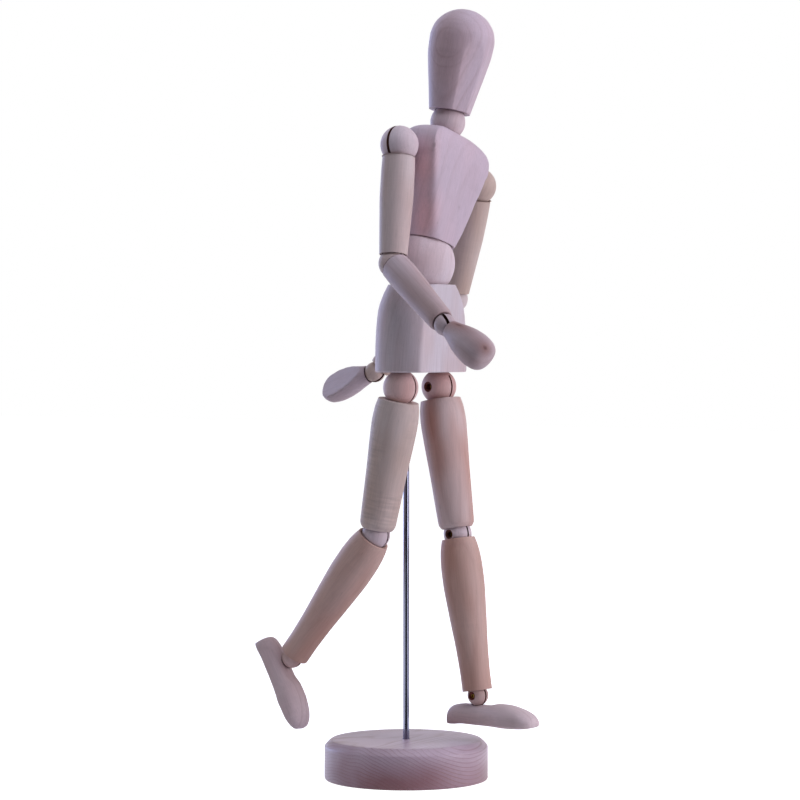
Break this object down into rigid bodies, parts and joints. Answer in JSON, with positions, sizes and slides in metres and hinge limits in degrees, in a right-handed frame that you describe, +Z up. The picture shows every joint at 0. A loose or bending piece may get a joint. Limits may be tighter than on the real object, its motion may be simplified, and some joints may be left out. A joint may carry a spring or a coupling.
{
  "type": "artist mannequin",
  "caption": "Jointed wooden artist's mannequin in a walking pose: slotted ball joints on pins and links let every limb be set, and a steel rod holds it over a round wooden stand.",
  "frame": {"origin": "centre of the stand's flat underside, on the rod's axis", "axes": "+Z up along the rod; the figure faces -Y with its own right hand towards -X"},
  "size_m": [0.0917, 0.126, 0.3064],
  "materials": {
    "limb_wood": "sanded, bare",
    "torso_wood": "sanded, bare",
    "stand_wood": "sanded, bare",
    "steel": "drawn bright",
    "brass": "drawn"
  },
  "bodies": {
    "stand": {"base_disc": "stand_wood", "stand_rod": "steel"},
    "pelvis_body": {"pelvis": "torso_wood"},
    "waist_ball_body": {"waist_ball": "limb_wood", "waist_pin": "brass"},
    "chest_body": {"waist_link": "steel", "chest": "torso_wood"},
    "neck_ball_body": {"neck_ball": "limb_wood", "neck_pin": "brass"},
    "head_body": {"neck_link": "steel", "head": "torso_wood"},
    "right_shoulder_ball_body": {"right_shoulder_ball": "limb_wood", "right_shoulder_pin": "brass"},
    "right_upper_arm_body": {"right_shoulder_link": "steel", "right_upper_arm": "limb_wood"},
    "right_elbow_ball_body": {"right_elbow_ball": "limb_wood", "right_elbow_pin": "brass"},
    "right_forearm_body": {"right_elbow_link": "steel", "right_forearm": "limb_wood"},
    "right_wrist_ball_body": {"right_wrist_ball": "limb_wood", "right_wrist_pin": "brass"},
    "right_hand_body": {"right_wrist_link": "steel", "right_hand": "limb_wood"},
    "left_shoulder_ball_body": {"left_shoulder_ball": "limb_wood", "left_shoulder_pin": "brass"},
    "left_upper_arm_body": {"left_shoulder_link": "steel", "left_upper_arm": "limb_wood"},
    "left_elbow_ball_body": {"left_elbow_ball": "limb_wood", "left_elbow_pin": "brass"},
    "left_forearm_body": {"left_elbow_link": "steel", "left_forearm": "limb_wood"},
    "left_wrist_ball_body": {"left_wrist_ball": "limb_wood", "left_wrist_pin": "brass"},
    "left_hand_body": {"left_wrist_link": "steel", "left_hand": "limb_wood"},
    "right_hip_ball_body": {"right_hip_ball": "limb_wood", "right_hip_pin": "brass"},
    "right_thigh_body": {"right_hip_link": "steel", "right_thigh": "limb_wood"},
    "right_knee_ball_body": {"right_knee_ball": "limb_wood", "right_knee_pin": "brass"},
    "right_shin_body": {"right_knee_link": "steel", "right_shin": "limb_wood"},
    "right_ankle_ball_body": {"right_ankle_ball": "limb_wood", "right_ankle_pin": "brass"},
    "right_foot_body": {"right_ankle_link": "steel", "right_foot": "limb_wood"},
    "left_hip_ball_body": {"left_hip_ball": "limb_wood", "left_hip_pin": "brass"},
    "left_thigh_body": {"left_hip_link": "steel", "left_thigh": "limb_wood"},
    "left_knee_ball_body": {"left_knee_ball": "limb_wood", "left_knee_pin": "brass"},
    "left_shin_body": {"left_knee_link": "steel", "left_shin": "limb_wood"},
    "left_ankle_ball_body": {"left_ankle_ball": "limb_wood", "left_ankle_pin": "brass"},
    "left_foot_body": {"left_ankle_link": "steel", "left_foot": "limb_wood"}
  },
  "joints": [
    {"name": "figure_turn", "type": "hinge", "parent": "stand", "child": "pelvis_body", "pos_m": [0, 0, 0.1558], "axis": [0, 0, 1], "range_deg": [-180, 180]},
    {"name": "waist_turn", "type": "hinge", "parent": "pelvis_body", "child": "waist_ball_body", "pos_m": [0, -0.0066, 0.2048], "axis": [0, 0, -1], "range_deg": [-90, 90]},
    {"name": "waist_bend", "type": "hinge", "parent": "waist_ball_body", "child": "chest_body", "pos_m": [0, -0.0066, 0.2048], "axis": [0.0767, 0.9971, 0], "range_deg": [-18, 18]},
    {"name": "neck_turn", "type": "hinge", "parent": "chest_body", "child": "neck_ball_body", "pos_m": [0.01558, -0.00944, 0.26122], "axis": [-0.2659, 0.0485, -0.9628], "range_deg": [-90, 90]},
    {"name": "neck_bend", "type": "hinge", "parent": "neck_ball_body", "child": "head_body", "pos_m": [0.01558, -0.00944, 0.26122], "axis": [0.9617, 0.0828, -0.2614], "range_deg": [-40, 36]},
    {"name": "right_shoulder_turn", "type": "hinge", "parent": "chest_body", "child": "right_shoulder_ball_body", "pos_m": [-0.01442, -0.00662, 0.25074], "axis": [0.9603, -0.0739, -0.2689], "range_deg": [-80, 105]},
    {"name": "right_shoulder_bend", "type": "hinge", "parent": "right_shoulder_ball_body", "child": "right_upper_arm_body", "pos_m": [-0.01442, -0.00662, 0.25074], "axis": [0.0578, 0.9961, -0.0672], "range_deg": [0, 150]},
    {"name": "right_elbow_turn", "type": "hinge", "parent": "right_upper_arm_body", "child": "right_elbow_ball_body", "pos_m": [-0.02285, -0.00927, 0.20417], "axis": [0.1778, 0.0559, 0.9825], "range_deg": [-170, 45]},
    {"name": "right_elbow_bend", "type": "hinge", "parent": "right_elbow_ball_body", "child": "right_forearm_body", "pos_m": [-0.02285, -0.00927, 0.20417], "axis": [-0.9412, 0.3011, 0.1532], "range_deg": [-60, 3]},
    {"name": "right_wrist_turn", "type": "hinge", "parent": "right_forearm_body", "child": "right_wrist_ball_body", "pos_m": [-0.03768, -0.04344, 0.18018], "axis": [0.3348, 0.7711, 0.5415], "range_deg": [-170, 170]},
    {"name": "right_wrist_bend", "type": "hinge", "parent": "right_wrist_ball_body", "child": "right_hand_body", "pos_m": [-0.03768, -0.04344, 0.18018], "axis": [-0.7591, 0.5612, -0.3298], "range_deg": [-60, 70]},
    {"name": "left_shoulder_turn", "type": "hinge", "parent": "chest_body", "child": "left_shoulder_ball_body", "pos_m": [0.0359, -0.01049, 0.23665], "axis": [0.9603, -0.0739, -0.2689], "range_deg": [-12, 170]},
    {"name": "left_shoulder_bend", "type": "hinge", "parent": "left_shoulder_ball_body", "child": "left_upper_arm_body", "pos_m": [0.0359, -0.01049, 0.23665], "axis": [-0.1538, -0.9447, -0.2896], "range_deg": [-20, 130]},
    {"name": "left_elbow_turn", "type": "hinge", "parent": "left_upper_arm_body", "child": "left_elbow_ball_body", "pos_m": [0.03899, 0.00291, 0.19129], "axis": [0.0652, 0.2828, -0.957], "range_deg": [-60, 170]},
    {"name": "left_elbow_bend", "type": "hinge", "parent": "left_elbow_ball_body", "child": "left_forearm_body", "pos_m": [0.03899, 0.00291, 0.19129], "axis": [0.7493, 0.6195, 0.2341], "range_deg": [-85, 18]},
    {"name": "left_wrist_turn", "type": "hinge", "parent": "left_forearm_body", "child": "left_wrist_ball_body", "pos_m": [0.0243, 0.03201, 0.1613], "axis": [0.3317, -0.657, 0.6771], "range_deg": [-170, 170]},
    {"name": "left_wrist_bend", "type": "hinge", "parent": "left_wrist_ball_body", "child": "left_hand_body", "pos_m": [0.0243, 0.03201, 0.1613], "axis": [-0.9328, -0.1213, 0.3393], "range_deg": [-35, 95]},
    {"name": "right_hip_turn", "type": "hinge", "parent": "pelvis_body", "child": "right_hip_ball_body", "pos_m": [-0.0135, -0.0066, 0.1558], "axis": [0, 0, 1], "range_deg": [-25, 150]},
    {"name": "right_hip_bend", "type": "hinge", "parent": "right_hip_ball_body", "child": "right_thigh_body", "pos_m": [-0.0135, -0.0066, 0.1558], "axis": [0.9986, 0.0523, 0], "range_deg": [0, 55]},
    {"name": "right_knee_turn", "type": "hinge", "parent": "right_thigh_body", "child": "right_knee_ball_body", "pos_m": [-0.0141, 0.00478, 0.09771], "axis": [-0.0101, 0.1923, -0.9813], "range_deg": [-95, 60]},
    {"name": "right_knee_bend", "type": "hinge", "parent": "right_knee_ball_body", "child": "right_shin_body", "pos_m": [-0.0141, 0.00478, 0.09771], "axis": [0.9986, 0.0523, 0], "range_deg": [-4, 8]},
    {"name": "right_ankle_turn", "type": "hinge", "parent": "right_shin_body", "child": "right_ankle_ball_body", "pos_m": [-0.01617, 0.04429, 0.04689], "axis": [0.0321, -0.6134, 0.7891], "range_deg": [-170, 170]},
    {"name": "right_ankle_bend", "type": "hinge", "parent": "right_ankle_ball_body", "child": "right_foot_body", "pos_m": [-0.01617, 0.04429, 0.04689], "axis": [0.9986, 0.0523, 0], "range_deg": [-70, 27]},
    {"name": "left_hip_turn", "type": "hinge", "parent": "pelvis_body", "child": "left_hip_ball_body", "pos_m": [0.0135, -0.0066, 0.1558], "axis": [0, 0, -1], "range_deg": [-150, 60]},
    {"name": "left_hip_bend", "type": "hinge", "parent": "left_hip_ball_body", "child": "left_thigh_body", "pos_m": [0.0135, -0.0066, 0.1558], "axis": [0.9903, -0.1392, 0], "range_deg": [-55, 8]},
    {"name": "left_knee_turn", "type": "hinge", "parent": "left_thigh_body", "child": "left_knee_ball_body", "pos_m": [0.01211, -0.01648, 0.09745], "axis": [0.0234, 0.1669, 0.9857], "range_deg": [-120, 105]},
    {"name": "left_knee_bend", "type": "hinge", "parent": "left_knee_ball_body", "child": "left_shin_body", "pos_m": [0.01211, -0.01648, 0.09745], "axis": [-0.9903, 0.1392, 0], "range_deg": [-12, 32]},
    {"name": "left_ankle_turn", "type": "hinge", "parent": "left_shin_body", "child": "left_ankle_ball_body", "pos_m": [0.01062, -0.02711, 0.03395], "axis": [0.0232, 0.1651, 0.986], "range_deg": [-120, 110]},
    {"name": "left_ankle_bend", "type": "hinge", "parent": "left_ankle_ball_body", "child": "left_foot_body", "pos_m": [0.01062, -0.02711, 0.03395], "axis": [0.9903, -0.1392, 0], "range_deg": [-57, 30]}
  ]
}
